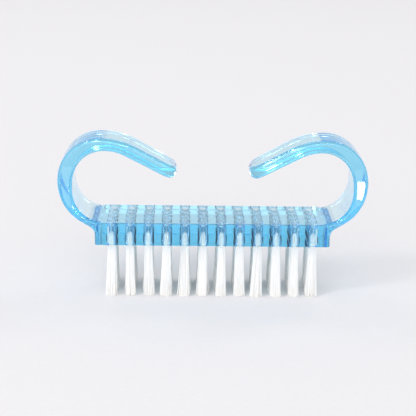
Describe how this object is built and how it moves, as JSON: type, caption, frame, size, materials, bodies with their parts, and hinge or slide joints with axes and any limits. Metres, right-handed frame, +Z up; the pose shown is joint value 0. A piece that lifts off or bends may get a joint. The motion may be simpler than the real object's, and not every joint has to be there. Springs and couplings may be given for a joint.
{
  "type": "nail brush",
  "caption": "Small two-handled nail brush: a clear blue moulded block with curled finger loops at both ends and rows of trimmed nylon bristle tufts anchored in its underside.",
  "frame": {"origin": "on the surface the bristle tips stand on, under the middle of the block", "axes": "+X along the brush from arm to arm, +Y from the front face to the back, +Z up from the tips to the arms"},
  "size_m": [0.0656, 0.015, 0.0341],
  "materials": {
    "clear_blue_plastic": "clear tinted moulding, polished",
    "white_nylon": "white bristle filaments, trimmed flat",
    "anchor_metal": "flat cut anchor plates"
  },
  "bodies": {
    "root": {"handle_body": "clear_blue_plastic", "anchors_row_1": "anchor_metal", "tuft_r1_c01": "white_nylon", "tuft_r1_c02": "white_nylon", "tuft_r1_c03": "white_nylon", "tuft_r1_c04": "white_nylon", "tuft_r1_c05": "white_nylon", "tuft_r1_c06": "white_nylon", "tuft_r1_c07": "white_nylon", "tuft_r1_c08": "white_nylon", "tuft_r1_c09": "white_nylon", "tuft_r1_c10": "white_nylon", "tuft_r1_c11": "white_nylon", "tuft_r1_c12": "white_nylon", "anchors_row_2": "anchor_metal", "tuft_r2_c01": "white_nylon", "tuft_r2_c02": "white_nylon", "tuft_r2_c03": "white_nylon", "tuft_r2_c04": "white_nylon", "tuft_r2_c05": "white_nylon", "tuft_r2_c06": "white_nylon", "tuft_r2_c07": "white_nylon", "tuft_r2_c08": "white_nylon", "tuft_r2_c09": "white_nylon", "tuft_r2_c10": "white_nylon", "tuft_r2_c11": "white_nylon", "tuft_r2_c12": "white_nylon", "anchors_row_3": "anchor_metal", "tuft_r3_c01": "white_nylon", "tuft_r3_c02": "white_nylon", "tuft_r3_c03": "white_nylon", "tuft_r3_c04": "white_nylon", "tuft_r3_c05": "white_nylon", "tuft_r3_c06": "white_nylon", "tuft_r3_c07": "white_nylon", "tuft_r3_c08": "white_nylon", "tuft_r3_c09": "white_nylon", "tuft_r3_c10": "white_nylon", "tuft_r3_c11": "white_nylon", "tuft_r3_c12": "white_nylon", "anchors_row_4": "anchor_metal", "tuft_r4_c01": "white_nylon", "tuft_r4_c02": "white_nylon", "tuft_r4_c03": "white_nylon", "tuft_r4_c04": "white_nylon", "tuft_r4_c05": "white_nylon", "tuft_r4_c06": "white_nylon", "tuft_r4_c07": "white_nylon", "tuft_r4_c08": "white_nylon", "tuft_r4_c09": "white_nylon", "tuft_r4_c10": "white_nylon", "tuft_r4_c11": "white_nylon", "tuft_r4_c12": "white_nylon"}
  },
  "joints": []
}
